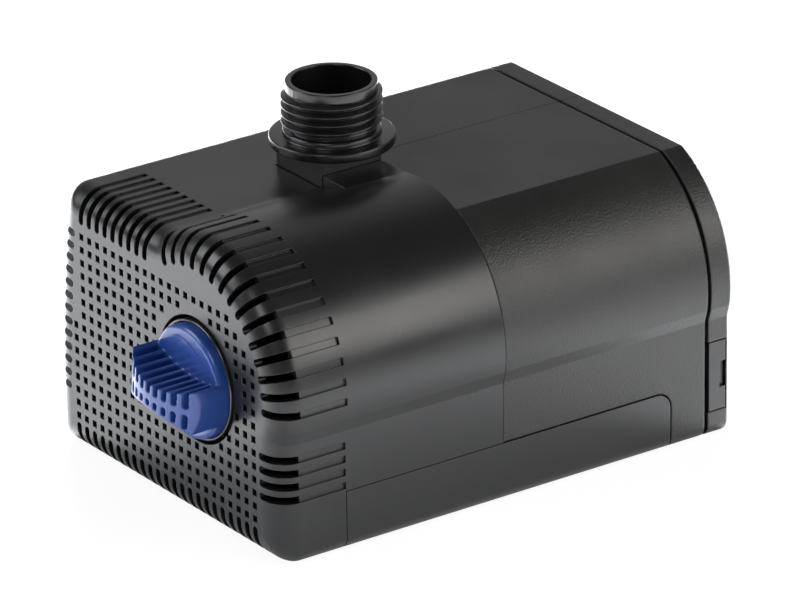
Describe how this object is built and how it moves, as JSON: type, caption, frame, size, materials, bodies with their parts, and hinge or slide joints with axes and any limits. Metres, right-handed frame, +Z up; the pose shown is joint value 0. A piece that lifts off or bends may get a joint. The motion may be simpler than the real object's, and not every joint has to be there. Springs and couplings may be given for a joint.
{
  "type": "submersible pond pump",
  "caption": "Submersible pond pump with a grille filter casing, threaded top outlet, blue flow-regulator knob and a resin-potted motor behind.",
  "frame": {"origin": "bottom centre of the pump's box, on the surface it stands on", "axes": "+X to the right seen from the grille, +Y from the grille face towards the rear cover, +Z up along the outlet"},
  "size_m": [0.082, 0.1248, 0.0781],
  "materials": {
    "black_satin_plastic": "smooth moulded satin",
    "grained_black_plastic": "fine spark-eroded grain",
    "blue_plastic": "smooth semi-gloss",
    "black_rubber": "smooth moulded rubber",
    "white_plastic": "natural nylon",
    "stainless_screw": "plain stainless",
    "ferrite": "ground ferrite",
    "white_ceramic": "ground alumina",
    "core_steel": "stacked plate edges",
    "copper_wire": "enamelled winding",
    "potting_resin": "cast resin"
  },
  "bodies": {
    "pump_body": {"base_panel": "black_satin_plastic", "motor_casing": "grained_black_plastic", "rear_cover": "grained_black_plastic", "rear_gasket": "black_rubber", "cover_screws": "stainless_screw", "pump_housing": "black_satin_plastic", "volute_cover": "black_satin_plastic", "volute_seal": "black_rubber", "housing_screws": "stainless_screw", "outlet_nozzle": "black_satin_plastic", "outlet_seal": "black_rubber", "rotor_shaft": "white_ceramic", "front_grommet": "black_rubber", "rear_grommet": "black_rubber", "rotor_can": "black_satin_plastic", "stator_core": "core_steel", "bobbin_lower": "white_plastic", "bobbin_upper": "white_plastic", "winding_lower": "copper_wire", "winding_upper": "copper_wire", "thermal_cutout": "white_plastic", "potting_block": "potting_resin", "cable_gland": "black_satin_plastic", "gland_nut": "black_satin_plastic", "gland_seal": "black_rubber"},
    "filter_shell": {"filter_casing": "black_satin_plastic"},
    "regulator": {"regulator_knob": "blue_plastic", "knob_seal": "black_rubber", "flow_shutter": "black_satin_plastic"},
    "rotor": {"impeller": "white_plastic", "rotor_magnet": "ferrite", "front_bearing": "white_ceramic", "rear_bearing": "white_ceramic"},
    "right_latch": {"latch_right": "black_satin_plastic"},
    "left_latch": {"latch_left": "black_satin_plastic"}
  },
  "joints": [
    {"name": "filter_pull", "type": "slide", "parent": "pump_body", "child": "filter_shell", "axis": [0, -1, 0], "range_m": [0, 0.07]},
    {"name": "flow_turn", "type": "hinge", "parent": "pump_body", "child": "regulator", "pos_m": [0.0117, -0.05, 0.0318], "axis": [0, 1, 0], "range_deg": [0, 90]},
    {"name": "rotor_spin", "type": "hinge", "parent": "pump_body", "child": "rotor", "pos_m": [0.0117, 0.02, 0.0318], "axis": [0, 1, 0], "continuous": true},
    {"name": "right_latch_press", "type": "slide", "parent": "pump_body", "child": "right_latch", "axis": [-1, 0, 0], "range_m": [0, 0.0015], "stiffness_N_per_m": 1500},
    {"name": "left_latch_press", "type": "slide", "parent": "pump_body", "child": "left_latch", "axis": [1, 0, 0], "range_m": [0, 0.0015], "stiffness_N_per_m": 1500}
  ]
}
